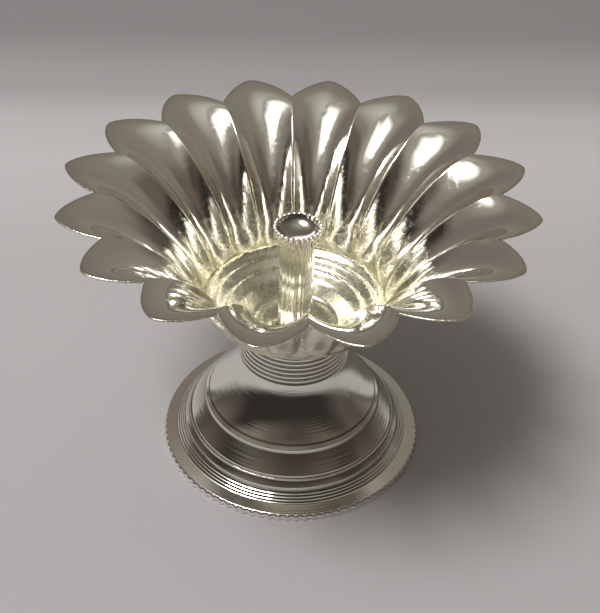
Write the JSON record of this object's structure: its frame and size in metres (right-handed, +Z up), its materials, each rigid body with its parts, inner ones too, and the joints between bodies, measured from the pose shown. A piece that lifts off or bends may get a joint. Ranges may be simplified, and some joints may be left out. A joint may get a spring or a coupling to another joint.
{
  "type": "diya oil lamp",
  "caption": "Footed oil lamp with a fluted lotus bowl round a central wick post, on a spun bell foot with a ringed neck and a knurled flange.",
  "frame": {"origin": "middle of the flat ring that the foot rests on, on the surface that the lamp stands on", "axes": "+Z up along the axis of the lamp; -Y points at a notch between two petals"},
  "size_m": [0.0784, 0.0784, 0.054],
  "materials": {
    "silver_plate": "mirror-bright silver plate on brass, warm white, with fine turning marks and a trace of tarnish",
    "plain_steel": "plain zinc-grey steel"
  },
  "bodies": {
    "root": {"foot": "silver_plate", "petal_bowl": "silver_plate", "wick_post": "silver_plate", "wick_cup": "silver_plate", "tie_stud": "plain_steel", "washer": "plain_steel", "hex_nut": "plain_steel"}
  },
  "joints": []
}
